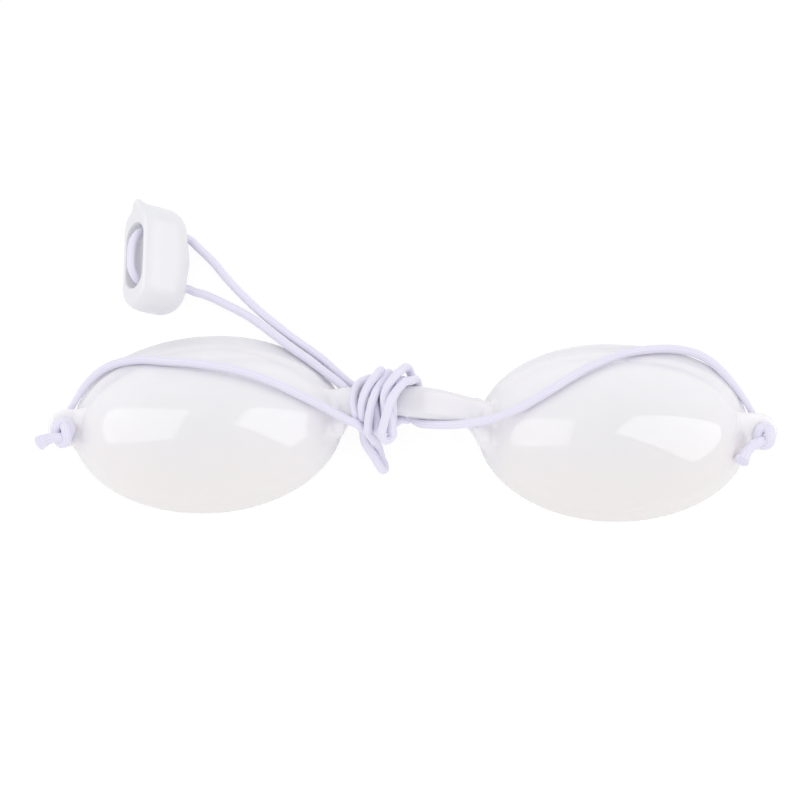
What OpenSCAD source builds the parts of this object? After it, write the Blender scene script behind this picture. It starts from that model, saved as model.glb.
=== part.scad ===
// Laser eye shield: two domed eye cups joined by a soft arched nose bridge,
// with a round elastic head cord wound round the bridge and a two-hole cord lock.
// The shield lies on its rims. X runs from the left cup to the right cup,
// Y runs towards the brow, and Z points away from the face.

/* [Eye cups] */
// Length of a cup from its middle to its nose end
cup_nose_half = 29.5; // [26:0.5:33]
// Length of a cup from its middle to its temple end
cup_temple_half = 30.5; // [27:0.5:32]
// Half the height of a cup, from the cheek side to the brow side
cup_half_height = 20.2; // [17:0.1:22]
// Depth of a cup, from its rim plane to the top of the dome
cup_depth = 19; // [15:0.5:21]
// Wall thickness of the dome
cup_wall = 1.6; // [1.2:0.1:2.4]
// How far the top of the dome lies from the middle, towards the cheek
dome_shift = 3; // [0:0.5:5]
// Fullness of the dome on the cheek side, 2 for a round wall
cheek_fullness = 2; // [1.4:0.1:2.6]
// Fullness of the dome on the brow side, 1 for a sloping wall
brow_fullness = 1.1; // [1:0.1:2]

/* [Rim] */
// Height of the upright outer edge of the rim
rim_edge = 0.9; // [0.6:0.1:1.4]
// Radius that softens the top of that edge
rim_round = 0.4; // [0.2:0.1:0.5]
// Height of the crease where the brim meets the dome
crease_height = 3; // [1.8:0.1:3]
// Width of the brim on the brow side
brim_brow = 4; // [2:0.5:5]
// Width of the brim on the cheek side
brim_cheek = 0.7; // [0.6:0.1:2]
// Width of the brim at the nose and temple ends
brim_end = 1.5; // [1:0.1:2.5]

/* [Cup positions] */
// Distance of the middle of the left cup from the middle of the shield
left_cup_x = 44.7; // [43:0.1:46]
// Distance of the middle of the right cup from the middle of the shield
right_cup_x = 43.9; // [43:0.1:46]
// How much further towards the brow the left cup lies than the right one
cup_offset = 1.9; // [0:0.1:3]
// Turn of the left cup, nose end towards the brow
left_turn = 3.3; // [0:0.1:6]
// Turn of the right cup, nose end towards the brow
right_turn = 2.2; // [0:0.1:6]

/* [Cord lugs] */
// Distance of the middle of the left lug's round end past the cup's temple end
left_lug_out = 0.85; // [0.8:0.05:2]
// Distance of the middle of the right lug's round end past the cup's temple end
right_lug_out = 1.62; // [0.8:0.02:2]
// Width of a lug
lug_w = 8; // [7:0.2:9]
// Thickness of a lug
lug_t = 2.4; // [2:0.1:3]
// Height of the underside of a lug, room for the cord to pass under it
lug_clear = 2.6; // [2.4:0.1:3]
// Radius of the cord hole in a lug
lug_hole_r = 1.4; // [1.3:0.1:1.6]
// Distance of the cord hole from the middle of the rounded end
lug_hole_out = 0.6; // [0.4:0.1:0.9]

/* [Nose bridge] */
// Width of the bar
bar_w = 6.4; // [5:0.2:7]
// Thickness of the bar
bar_t = 3.6; // [2.8:0.2:4]
// Radius of the bar's long edges
bar_round = 1.1; // [0.6:0.1:1.3]
// Height of the bar's middle line where it leaves the cups
root_z = 5.5; // [5:0.5:7]
// Rise of the arch above its roots
arch_rise = 5.5; // [4:0.5:7]
// Bow of the arch towards the brow
arch_bow = 1.4; // [0:0.2:2.4]
// How far the roots lie from the cups' nose ends, towards the brow
root_up = 0.9; // [0:0.1:1.5]
// Extra width of each root on its cheek side
root_flare = 3.4; // [1:0.2:4]
// Length over which a root widens
flare_length = 3.6; // [3:0.2:5]
// Length of the left root, from its foot on the brim to the wound part of the bar
left_root_l = 1.8; // [1.4:0.1:2.4]
// Length of the right root, from its foot on the brim to the bending part of the bar
right_root_l = 5.4; // [4.6:0.2:6]
// Length of the bare part of the bar that bends
flex_l = 7.6; // [6.6:0.2:8]

/* [Cord] */
// Diameter of the elastic cord
cord_d = 1.9; // [1.6:0.1:2]
// Clearance between the cord and what it lies on or passes through
cord_gap = 0.3; // [0.25:0.05:0.4]

/* [Cord lock] */
// Length of the lock, across the two strands
lock_l = 24.4; // [23:0.2:26]
// Depth of the lock along its cord holes
lock_d = 13.6; // [12:0.2:15]
// Radius of the rounded body
lock_r = 5.6; // [5:0.1:6]
// Distance between the two cord holes
lock_hole_gap = 11.8; // [10.8:0.1:12.2]
// Radius of each cord hole
lock_hole_r = 1.3; // [1.25:0.05:1.5]
// Depth of the pocket in the flat back
pocket_d = 4; // [3.4:0.1:5]
// Height of the pocket
pocket_h = 6.8; // [5:0.2:7.2]
// Lean of the lock, its back face turned upwards
lock_lean = 40; // [30:1:42]

/* [Hidden] */
$fn = 48;
shell_white = [0.94, 0.93, 0.95];
cord_lilac = [0.85, 0.84, 0.93];

// Smallest overlap that makes two moulded forms one
fuse = 0.5;
// Size of the block that cuts everything below the rim plane
floor_size = 200;
// How far cutters run past the faces that they cut
past = 1;

// Points round a cup and rings from its crease to its top
cup_points = 48;
dome_rings = 9;

// Points of the elliptical outline at an angle, with separate halves
function end_half(a, nose, temple) = cos(a) > 0 ? nose : temple;

// One closed ring, drawn in from the outline by set amounts on each side
function outline_ring(ends, cheek, brow, z) = [
    for (i = [0 : cup_points - 1])
        let (a = i * 360 / cup_points)
        [
            cos(a) * (end_half(a, cup_nose_half, cup_temple_half) - ends),
            sin(a) * (cup_half_height - (cheek + brow) / 2) + (cheek - brow) / 2,
            z
        ]
];

// Fullness of the dome's profile at an angle round the cup
function fullness(a) = brow_fullness + (cheek_fullness - brow_fullness) * (1 - sin(a)) / 2;

// One ring of the dome: share 1 at the crease and 0 at the top, inset inwards by a wall
function dome_ring(share, inset, foot) = [
    for (i = [0 : cup_points - 1])
        let (a = i * 360 / cup_points)
        let (half_y = cup_half_height - (brim_cheek + brim_brow) / 2 - inset)
        let (foot_y = (brim_cheek - brim_brow) / 2)
        let (end_x = end_half(a, cup_nose_half, cup_temple_half) - brim_end - inset)
        [
            share * cos(a) * end_x,
            share * sin(a) * half_y + foot_y * share - dome_shift * (1 - share),
            foot + (cup_depth - inset - foot) * pow(1 - share * share, 1 / fullness(a))
        ]
];

// Triangles between neighbouring rings of n points each
function band_faces(rings, n) = [
    for (i = [0 : rings - 2], j = [0 : n - 1], half = [0, 1])
        let (k = (j + 1) % n)
        half == 0 ? [i * n + j, (i + 1) * n + j, (i + 1) * n + k]
                  : [i * n + j, (i + 1) * n + k, i * n + k]
];

// A closed skin over rings, ending in one point at the top
module domed_skin(rings, top) {
    n = len(rings[0]);
    last = (len(rings) - 1) * n;
    points = [for (r = rings) each r, top];
    polyhedron(points, concat(
        band_faces(len(rings), n),
        [[for (j = [0 : n - 1]) j]],
        [for (j = [0 : n - 1]) [last + j, last + n, last + (j + 1) % n]]
    ));
}

// A closed skin over rings with flat ends
module flat_skin(rings) {
    n = len(rings[0]);
    last = (len(rings) - 1) * n;
    polyhedron([for (r = rings) each r], concat(
        band_faces(len(rings), n),
        [[for (j = [0 : n - 1]) j]],
        [[for (j = [n - 1 : -1 : 0]) last + j]]
    ));
}

function dome_rings_from(inset, foot) = [
    for (k = [0 : dome_rings - 1]) dome_ring(cos(90 * k / dome_rings), inset, foot)
];

// Outside of a cup: upright edge, softened corner, sloping brim and dome
module cup_outside() {
    domed_skin(concat(
        [outline_ring(0, 0, 0, -past)],
        [outline_ring(0, 0, 0, rim_edge)],
        [outline_ring(rim_round, rim_round * 0.6, rim_round, rim_edge + rim_round * 0.8)],
        dome_rings_from(0, crease_height)
    ), [0, -dome_shift, cup_depth]);
}

// Hollow of a cup, where the closed eye lies
module cup_hollow() {
    domed_skin(concat(
        [[for (p = dome_ring(1, cup_wall, 0)) [p[0], p[1], -2 * past]]],
        dome_rings_from(cup_wall, 0)
    ), [0, -dome_shift, cup_depth - cup_wall]);
}

// Lug with its cord hole, and the thick root that carries it on the rim
module lug(reach) {
    r = lug_w / 2;
    inner = cup_temple_half - brim_end - cup_wall - fuse;
    difference() {
        union() {
            translate([-reach, 0, lug_clear]) cylinder(r = r, h = lug_t);
            translate([-reach, -r, lug_clear]) cube([reach - inner, lug_w, lug_t]);
            translate([-cup_temple_half + rim_round, -r, rim_edge / 2])
                cube([cup_temple_half - rim_round - inner, lug_w, lug_clear]);
        }
        translate([-reach - lug_hole_out, 0, lug_clear - past])
            cylinder(r = lug_hole_r, h = lug_t + 2 * past);
    }
}

// The arch of the nose bridge, by the distance along X from the left root to the right root.
// A root meets the brim this far past the cup's nose end, and runs on into the brim.
root_past = 2;
root_sunk = 1.5;
// Share of a root's extra width that lies on its brow side
brow_flare = 0.15;
root_left = -left_cup_x + cup_nose_half - root_past;
root_right = right_cup_x - cup_nose_half + root_past;
left_root_end = root_left + left_root_l;
flex_end = root_right - right_root_l;
flex_start = flex_end - flex_l;
function along(x) = (x - root_left) / (root_right - root_left);
function hump(x) = 4 * along(x) * (1 - along(x));
left_root_y = cup_offset / 2 + cup_nose_half * sin(left_turn) + root_up;
right_root_y = -cup_offset / 2 + cup_nose_half * sin(right_turn) + root_up;
function bar_y(x) = left_root_y + (right_root_y - left_root_y) * along(x) + arch_bow * hump(x);
function bar_z(x) = root_z + arch_rise * hump(x);
function flare_at(x) = let (d = min(x - root_left, root_right - x) - root_past)
    root_flare * pow(max(0, 1 - max(0, d) / flare_length), 2);

// Section of the bar at x, a rectangle with round corners that widens at the roots
corner_steps = 4;
function bar_section(x) = [
    for (c = [0 : 3], s = [0 : corner_steps])
        let (a = c * 90 + s * 90 / corner_steps)
        let (side = (c == 0 || c == 3) ? 1 : -1)
        let (up = c < 2 ? 1 : -1)
        let (edge = bar_w / 2 + (side < 0 ? flare_at(x) : flare_at(x) * brow_flare))
        [
            x,
            bar_y(x) + side * (edge - bar_round) + bar_round * cos(a),
            bar_z(x) + up * (bar_t / 2 - bar_round) + bar_round * sin(a)
        ]
];

// The bar between two stations along X
module bar(from, to, steps) {
    flat_skin([for (i = [0 : steps]) bar_section(from + (to - from) * i / steps)]);
}

module floor_cut() {
    translate([-floor_size / 2, -floor_size / 2, -floor_size]) cube(floor_size);
}

// Cup places: local +X points to the nose, local +Y to the brow
module at_left() {
    translate([-left_cup_x, cup_offset / 2, 0]) rotate([0, 0, left_turn]) children();
}
module at_right() {
    translate([right_cup_x, -cup_offset / 2, 0]) rotate([0, 0, -right_turn]) mirror([1, 0, 0]) children();
}

module left_eyecup() {
    color(shell_white)
    difference() {
        union() {
            at_left() cup_outside();
            at_left() lug(cup_temple_half + left_lug_out);
            bar(root_left - root_sunk, left_root_end, 4);
        }
        at_left() cup_hollow();
        floor_cut();
    }
}

module right_eyecup() {
    color(shell_white)
    difference() {
        union() {
            at_right() cup_outside();
            at_right() lug(cup_temple_half + right_lug_out);
            bar(flex_end, root_right + root_sunk, 5);
        }
        at_right() cup_hollow();
        floor_cut();
    }
}

module nose_bridge() {
    color(shell_white) bar(left_root_end, flex_start, 12);
}

module bridge_flexure() {
    color(shell_white) bar(flex_start, flex_end, 6);
}

// Cord lock: a pillow with two cord holes and a pocket in its flat back.
// Local X runs along the holes from the back to the front, local Y across them.
lock_at = [-56.4, 36.7, 6.6];
// How far the middle of the front swells past its ends
lock_swell = 0.9;
// How far the round ends would reach behind the flat back
lock_cut = 2;
// Radius of the small lip at the brow end of the back edge, and of its foot on the body
lip_r = 1.3;
lip_foot_r = 3;
module at_lock() {
    translate(lock_at) rotate([0, lock_lean, 0]) translate([-lock_d / 2, 0, 0]) children();
}

module lock_pillow() {
    end_y = lock_l / 2 - lock_r;
    hull() {
        for (side = [-1, 1]) {
            translate([lock_d - lock_r - lock_swell, side * end_y, 0]) sphere(r = lock_r, $fn = 32);
            translate([lock_r - lock_cut, side * end_y, 0]) sphere(r = lock_r, $fn = 32);
        }
        translate([lock_d - lock_r, 0, 0]) sphere(r = lock_r, $fn = 32);
    }
}

module cord_lock() {
    end_y = lock_l / 2 - lip_foot_r - 1;
    pocket_half = lock_hole_gap / 2 + lock_hole_r + cord_gap - pocket_h / 2;
    color(shell_white)
    at_lock() difference() {
        union() {
            lock_pillow();
            // Small lip that flares from the back edge at the brow end
            hull() {
                translate([lip_r + 0.4, lock_l / 2 + 0.1, 0]) sphere(r = lip_r, $fn = 24);
                translate([lip_foot_r + 0.4, end_y, 0]) sphere(r = lip_foot_r, $fn = 24);
            }
        }
        translate([-lock_l, -lock_l, -lock_l]) cube([lock_l, 2 * lock_l, 2 * lock_l]);
        translate([-past, 0, 0]) rotate([0, 90, 0]) linear_extrude(pocket_d + past)
            hull() for (side = [-1, 1]) translate([0, side * pocket_half]) circle(d = pocket_h);
        for (side = [-1, 1])
            translate([-past, side * lock_hole_gap / 2, 0]) rotate([0, 90, 0])
                cylinder(r = lock_hole_r, h = lock_d + 2 * past);
    }
}

// Tube of n sides swept along a path, its frame carried along without twist
function unit(v) = v / norm(v);
function heading(p, i) = unit(p[min(i + 1, len(p) - 1)] - p[max(i - 1, 0)]);
function square_to(v, t) = unit(v - (v * t) * t);
function sides_of(p) = [
    for (i = 0, n = square_to([0.1, 0.2, 1], heading(p, 0)); i < len(p);
         i = i + 1, n = i < len(p) ? square_to(n, heading(p, i)) : n) n
];
module tube(path, n) {
    side = sides_of(path);
    flat_skin([
        for (i = [0 : len(path) - 1])
            let (across = cross(heading(path, i), side[i]))
            [for (j = [0 : n - 1]) let (a = j * 360 / n)
                path[i] + cord_d / 2 * (cos(a) * side[i] + sin(a) * across)]
    ]);
}

// Turns round the bar: angle 0 is over the top of the bar, 90 at its brow side
loop_steps = 24;
function turn_point(a, start, pitch, lean, tilt, half_y, half_z) =
    let (x = start + pitch * a / 360 + lean * sin(a) - tilt * cos(a))
    [x, bar_y(x) + half_y * sin(a), bar_z(x) + half_z * cos(a)];

// Inner turns lie on the bar: an oval path this far off its flats clears its round edges
inner_ease = 1.05;
inner_start = -9.8;
inner_pitch = 2.6;
inner_lean = 1;
inner_tilt = 0.7;
inner_loops = 4;
inner_from = -180;
inner_to = 180 + 360 * (inner_loops - 1);
inner_off = inner_ease + cord_d / 2;
function inner_point(a) = turn_point(
    a, inner_start, inner_pitch, inner_lean, inner_tilt, bar_w / 2 + inner_off, bar_t / 2 + inner_off
);

// Outer turns lie over the inner ones, and start from the tucked fold of cord at the cheek side
outer_ease = 0.62;
outer_start = -9.3;
outer_pitch = 2.5;
outer_lean = 2;
outer_tilt = 1.4;
outer_loops = 4;
outer_from = -75;
outer_to = 180 + 360 * (outer_loops - 1);
outer_off = inner_off + cord_d + outer_ease;
function outer_point(a) = turn_point(
    a, outer_start, outer_pitch, outer_lean, outer_tilt, bar_w / 2 + outer_off, bar_t / 2 + outer_off
);

function outer_turns() = [
    for (i = [0 : round((outer_to - outer_from) * loop_steps / 360)])
        outer_point(outer_from + i * 360 / loop_steps)
];
function inner_turns() = [
    for (i = [0 : round((inner_to - inner_from) * loop_steps / 360)])
        inner_point(inner_from + i * 360 / loop_steps)
];

// A winding's path with a straight end of one cord diameter at both ends
function straight_ends(p) = concat(
    [p[0] - cord_d * unit(p[1] - p[0])], p,
    [p[len(p) - 1] + cord_d * unit(p[len(p) - 1] - p[len(p) - 2])]
);
function first_way(p) = unit(p[1] - p[0]);
function last_way(p) = unit(p[len(p) - 1] - p[len(p) - 2]);

outer_path = straight_ends(outer_turns());
inner_path = straight_ends(inner_turns());

// Least distance between the surfaces of turns that are half a loop apart or more
function least_gap(p) = min([
    for (i = [0 : len(p) - 1], j = [i + loop_steps / 2 : 1 : len(p) - 1]) norm(p[i] - p[j])
]) - cord_d;
echo(outer_winding_gap = least_gap(outer_path), inner_winding_gap = least_gap(inner_path));
echo(between_windings = min([for (p = outer_path, q = inner_path) norm(p - q)]) - cord_d);

// Routes of the free cord, in millimetres: from the left knot to the outer turns
left_route = [
    [-76.6, -0.9, 5.1], [-76.6, -0.9, 2.4], [-76.6, 0.1, 1.2], [-76.6, 2, 1.1], [-76.3, 4.2, 1.3],
    [-75, 7, 1.9], [-72.5, 10.5, 1.9], [-69, 13.3, 2.4], [-64.5, 14.8, 3.3], [-60.5, 14.8, 4.5],
    [-57, 13.7, 8.4], [-53, 12.6, 11.2], [-48, 11.5, 13.4], [-43, 10.3, 14.9], [-37.5, 8.9, 15.6],
    [-32.5, 7.2, 15.6], [-28, 5.4, 14.9], [-24, 3.8, 13.1], [-20.5, 2.2, 11.1], [-17, 0.4, 10.4],
    [-14.4, -1.8, 9.6], [-12.6, -3.4, 6.8], [-11.2, -4.4, 4.4], [-9.8, -5.6, 2.5], [-7.8, -7.6, 1.3],
    [-6.5, -9.3, 1.7], [-6.2, -9.8, 3.1], [-6.8, -9.2, 4.5], [-9, -7, 5.8]
];
// From the outer turns under the bar to the lock, through it and back to the inner turns
lock_route = [
    [1.6, 1, 3.2], [0.8, -0.6, 1.9], [-1.4, -1, 1.2], [-7, 3, 1.1], [-14, 9.6, 1.1], [-20.4, 15.8, 1.1],
    [-27.4, 21, 1.1], [-34.8, 27.2, 1.1], [-41.1, 33.6, 1.1], [-46.4, 39.6, 1.2]
];
back_route = [
    [-46.6, 30.8, 1.2], [-41.8, 28.8, 1.1], [-35.5, 24.4, 1.1], [-27.5, 18.2, 2.5], [-20.5, 13, 2.8],
    [-14.5, 8.4, 4.2]
];
// From the inner turns to the right knot
right_route = [
    [0.4, -1, 7.4], [2.4, -2.4, 8.6], [6, -2.7, 9.8], [10.6, -2.6, 10.4], [13.4, -1.8, 10.8],
    [16.4, -0.4, 10.6], [19.5, 0.6, 11.1], [24.8, 2.6, 13.8], [30, 5.5, 14.7], [35.8, 9.5, 12.9],
    [41.6, 12.9, 9.7], [45, 14.9, 6.7], [48.5, 16.4, 4.3], [53, 17.5, 2.9], [58.8, 17.9, 1.8],
    [64, 16.8, 1.5], [68.5, 14.2, 1.4], [72, 10.3, 1.4], [74.8, 6.3, 1.4], [76.5, 2.6, 1.2],
    [76.6, 0.2, 1.1], [76.6, -1.4, 1.2], [76.6, -2.2, 2.4], [76.6, -2.2, 5.1]
];

// The cord inside the lock: out of one hole, round in the pocket, into the other
function in_lock(a, l) = lock_at + [
    cos(lock_lean) * (a - lock_d / 2), l, -sin(lock_lean) * (a - lock_d / 2)
];
lock_bight = [
    for (p = [[lock_d + 1, 1], [4.2, 1], [1.8, 0.92], [0.5, 0.55]]) in_lock(p[0], p[1] * lock_hole_gap / 2)
];
lock_bight_back = [
    for (p = [[0.2, 0], [0.5, -0.55], [1.8, -0.92], [4.2, -1], [lock_d + 1, -1]])
        in_lock(p[0], p[1] * lock_hole_gap / 2)
];

// A lead point keeps the end face of a free stretch square to the winding's end face
function lead_in(p) = [p[0] - cord_d / 2 * first_way(p), p[0]];
function lead_out(p) = [p[len(p) - 1], p[len(p) - 1] + cord_d / 2 * last_way(p)];

left_path = concat(left_route, lead_in(outer_path));
lock_path = concat(
    lead_out(outer_path), lock_route, lock_bight, lock_bight_back, back_route, lead_in(inner_path)
);
right_path = concat(lead_out(inner_path), right_route);

// Overhand knot drawn down on the mouth of a lug's hole: two crossing turns and a cut tail.
// Its underside is flat where it bears on the lug.
knot_seat = lug_clear + lug_t + 0.1;
knot_turn_r = 1.6;
knot_mid = knot_seat + knot_turn_r + cord_d / 2 - 0.4;
module knot_turn(lean, roll, turn) {
    rotate([lean, roll, turn]) rotate_extrude() translate([knot_turn_r, 0]) circle(d = cord_d);
}
module knot(turn, tail_l) {
    intersection() {
        translate([0, 0, knot_mid]) union() {
            knot_turn(28, 8, turn);
            knot_turn(-52, 20, turn + 60);
            rotate([0, 98, turn]) cylinder(d = cord_d, h = tail_l);
            translate([0, 0, -knot_mid]) cylinder(d = cord_d, h = knot_mid);
        }
        translate([-floor_size / 2, -floor_size / 2, knot_seat]) cube(floor_size);
    }
}
module left_knot() {
    color(cord_lilac) translate([left_route[0][0], left_route[0][1], 0]) knot(206, 6);
}
module right_knot() {
    last = right_route[len(right_route) - 1];
    color(cord_lilac) translate([last[0], last[1], 0]) knot(228, 7);
}

module left_cord_stretch() { color(cord_lilac) tube(left_path, 8); }
module outer_winding() { color(cord_lilac) tube(outer_path, 6); }
module lock_cord_loop() { color(cord_lilac) tube(lock_path, 8); }
module inner_winding() { color(cord_lilac) tube(inner_path, 6); }
module right_cord_stretch() { color(cord_lilac) tube(right_path, 8); }

left_eyecup();
right_eyecup();
nose_bridge();
bridge_flexure();
cord_lock();
left_cord_stretch();
outer_winding();
lock_cord_loop();
inner_winding();
right_cord_stretch();
left_knot();
right_knot();
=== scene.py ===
"""A laser eye shield: two domed cups on a flexible bridge, its wound head cord and cord lock."""

import math

import bpy
import numpy as np
from bpy.props import FloatProperty, FloatVectorProperty, IntProperty, PointerProperty
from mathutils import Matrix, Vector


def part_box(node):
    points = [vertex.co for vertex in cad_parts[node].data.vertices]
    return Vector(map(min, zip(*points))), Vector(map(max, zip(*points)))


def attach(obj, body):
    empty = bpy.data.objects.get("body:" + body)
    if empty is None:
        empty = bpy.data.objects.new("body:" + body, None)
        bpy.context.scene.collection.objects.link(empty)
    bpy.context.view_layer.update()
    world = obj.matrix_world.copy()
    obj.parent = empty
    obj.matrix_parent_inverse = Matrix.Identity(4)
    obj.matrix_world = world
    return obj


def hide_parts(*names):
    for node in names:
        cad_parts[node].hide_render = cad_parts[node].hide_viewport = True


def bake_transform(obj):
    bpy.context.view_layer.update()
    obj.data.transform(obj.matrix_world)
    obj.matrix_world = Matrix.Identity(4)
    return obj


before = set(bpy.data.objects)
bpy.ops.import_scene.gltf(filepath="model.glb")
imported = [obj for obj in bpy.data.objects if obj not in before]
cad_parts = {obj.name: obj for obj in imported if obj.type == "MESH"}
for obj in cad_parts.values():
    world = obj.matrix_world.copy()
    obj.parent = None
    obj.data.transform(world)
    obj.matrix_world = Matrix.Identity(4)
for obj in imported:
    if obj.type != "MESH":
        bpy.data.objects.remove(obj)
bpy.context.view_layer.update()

bl_info = {
    "name": "Laser eye shield",
    "version": (1, 0, 0),
    "blender": (4, 5, 0),
    "location": "3D View > Sidebar > Eye shield",
    "description": "Makes a moulded eye shield with its wound elastic head cord and cord lock",
    "category": "Add Mesh",
}

MM = 0.001


def srgb(text):
    """A colour written as sRGB hex, as the linear values that shaders take."""
    channels = [int(text[i : i + 2], 16) / 255 for i in (1, 3, 5)]
    return tuple(c / 12.92 if c <= 0.04045 else ((c + 0.055) / 1.055) ** 2.4 for c in channels)


def amount(name, description, value, **kind):
    return FloatProperty(name=name, description=description, default=value, **kind)


def size(name, description, millimetres):
    return amount(name, description, millimetres * MM, unit="LENGTH", precision=5)


def angle(name, description, degrees):
    return amount(name, description, math.radians(degrees), subtype="ANGLE")


def colour(name, description, text):
    return FloatVectorProperty(
        name=name, description=description, default=srgb(text), subtype="COLOR", min=0, max=1
    )


class ShieldSizes(bpy.types.PropertyGroup):
    """Sizes of the one-piece moulding."""

    nose_half: size("Nose half", "Length of a cup from its middle to its nose end", 29.5)
    temple_half: size("Temple half", "Length of a cup from its middle to its temple end", 30.5)
    half_height: size("Half height", "Half the height of a cup", 20.2)
    depth: size("Depth", "Depth of a cup, from its rim plane to the top of the dome", 19)
    wall: size("Wall", "Thickness of the dome", 1.6)
    dome_shift: size("Dome shift", "How far the dome's top lies towards the cheek", 3)
    cheek_fullness: amount("Cheek fullness", "2 for a round wall on the cheek side", 2)
    brow_fullness: amount("Brow fullness", "1 for a sloping wall on the brow side", 1.1)
    rim_edge: size("Rim edge", "Height of the upright outer edge", 0.9)
    edge_round: size("Edge round", "Radius that softens the rim's edges", 0.35)
    crease_height: size("Crease height", "Height where the brim meets the dome", 3)
    crease_round: size("Crease round", "Radius of the soft crease there", 3)
    brim_brow: size("Brow brim", "Width of the brim on the brow side", 4)
    brim_cheek: size("Cheek brim", "Width of the brim on the cheek side", 0.7)
    brim_end: size("End brim", "Width of the brim at the nose and temple ends", 1.5)
    left_x: size("Left cup", "Distance of the left cup's middle from the shield's", 44.7)
    right_x: size("Right cup", "Distance of the right cup's middle from the shield's", 43.9)
    offset: size("Offset", "How much further to the brow the left cup lies", 1.9)
    left_turn: angle("Left turn", "Turn of the left cup, nose end to the brow", 3.3)
    right_turn: angle("Right turn", "Turn of the right cup, nose end to the brow", 1.6)
    left_lug_out: size("Left lug", "Middle of the lug's end past the left cup", 0.85)
    right_lug_out: size("Right lug", "Middle of the lug's end past the right cup", 1.62)
    left_corner: amount("Left corner", "Fullness of the left outline, temple and brow side", 2.12)
    right_corner: amount("Right corner", "Fullness of the right outline there", 2.45)
    right_lug_up: size("Right lug place", "How far the right lug lies to the brow", 0.25)
    lug_w: size("Lug width", "Width of a lug", 8)
    lug_t: size("Lug thickness", "Thickness of a lug", 2.4)
    lug_clear: size("Lug clearance", "Height of the underside of a lug", 2.6)
    lug_round: size("Lug round", "Radius of a lug's edges", 0.5)
    lug_fillet: size("Lug fillet", "Radius of the fillets round the lugs", 1.1)
    hole_r: size("Cord hole", "Radius of the cord hole in a lug", 1.4)
    hole_out: size("Hole place", "Distance of the hole from the middle of the lug's end", 0.6)
    bar_w: size("Bar width", "Width of the nose bridge", 6.4)
    bar_t: size("Bar thickness", "Thickness of the nose bridge", 3.6)
    bar_round: size("Bar round", "Radius of the bar's long edges", 1.1)
    root_z: size("Root height", "Height of the bar where it leaves the cups", 5.5)
    arch_rise: size("Arch rise", "Rise of the arch above its roots", 5.5)
    arch_bow: size("Arch bow", "Bow of the arch towards the brow", 1.4)
    root_up: size("Root place", "How far the roots lie to the brow of the nose ends", 0.9)
    root_flare: size("Root flare", "Extra width of each root on its cheek side", 3.4)
    flare_length: size("Flare length", "Length over which a root widens", 3.6)
    root_round: size("Root fillet", "Radius of the fillets round the roots", 3)
    mesh_step: size("Mesh step", "Distance between points of the moulding's mesh", 0.5)


class CordSizes(bpy.types.PropertyGroup):
    """Sizes of the elastic head cord."""

    diameter: size("Diameter", "Diameter of the elastic cord", 1.9)
    ring_step: size("Ring step", "Distance between rings of the cord's mesh", 0.4)
    sides: IntProperty(name="Sides", description="Faces round the cord", default=16)
    yarn: size("Yarn", "Width of a yarn of the braided cover", 0.3)


class LockSizes(bpy.types.PropertyGroup):
    """Sizes of the cord lock."""

    length: size("Length", "Length across the two strands", 24.4)
    depth: size("Depth", "Depth along the cord holes", 13.6)
    radius: size("Radius", "Radius of the rounded body", 5.6)
    hole_gap: size("Hole gap", "Distance between the two cord holes", 11.8)
    hole_r: size("Hole radius", "Radius of each cord hole", 1.3)
    hole_up: size("Hole slope", "How far the holes climb towards the lip on their way out", 0.9)
    pocket_d: size("Pocket depth", "Depth of the pocket in the flat back", 4)
    pocket_h: size("Pocket height", "Height of the pocket", 6.8)
    cut: size("Cut", "How far the round ends would reach behind the flat back", 2)
    lean: angle("Lean", "Lean of the lock, its back turned upwards", 40)
    mesh_step: size("Mesh step", "Distance between points of the lock's mesh", 0.35)


class Finishes(bpy.types.PropertyGroup):
    """Colours of the finishes."""

    shell: colour("Shell", "Colour of the white moulding", "#F1EFF3")
    # Painted shade: a darker, warmer shell colour for the low cheek side of the cups
    shell_painted_shade: colour("Shell, low", "Warmer colour low on the cups", "#EBE6E5")
    # Painted shade: a greyer shell colour for the thin bridge
    shell_thin_shade: colour("Shell, thin", "Greyer colour of the thin bridge", "#E2E1E6")
    cord: colour("Cord", "Colour of the cord's yarns", "#EEECFA")
    # Painted shade: a darker cord colour for the recesses between the yarns
    cord_gap_shade: colour("Cord gaps", "Colour between the cord's yarns", "#DEDBEE")
    lock: colour("Lock", "Colour of the cord lock", "#E8E8EC")
    floor: colour("Floor", "Colour of the floor", "#FFFFFF")


# Fields: a field gives each point a value below zero inside the solid and above zero outside it


def smooth_union(a, b, radius):
    """Two fields joined, with a fillet of about that radius in the corner between them."""
    h = np.clip(0.5 + 0.5 * (b - a) / radius, 0, 1)
    return b * (1 - h) + a * h - radius * h * (1 - h)


def smooth_cut(a, b, radius):
    """What is inside both fields, with its edges rounded by about that radius."""
    return -smooth_union(-a, -b, radius)


def slope(field, points, step=0.02 * MM):
    """How fast a field rises along each axis."""
    out = np.empty_like(points)
    for axis in range(3):
        nudge = np.zeros(3)
        nudge[axis] = step
        out[..., axis] = (field(points + nudge) - field(points - nudge)) / (2 * step)
    return out


def as_distance(field, points):
    """A field turned into a distance by how fast it rises."""
    return field(points) / np.maximum(np.linalg.norm(slope(field, points), axis=-1), 1e-6)


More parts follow.
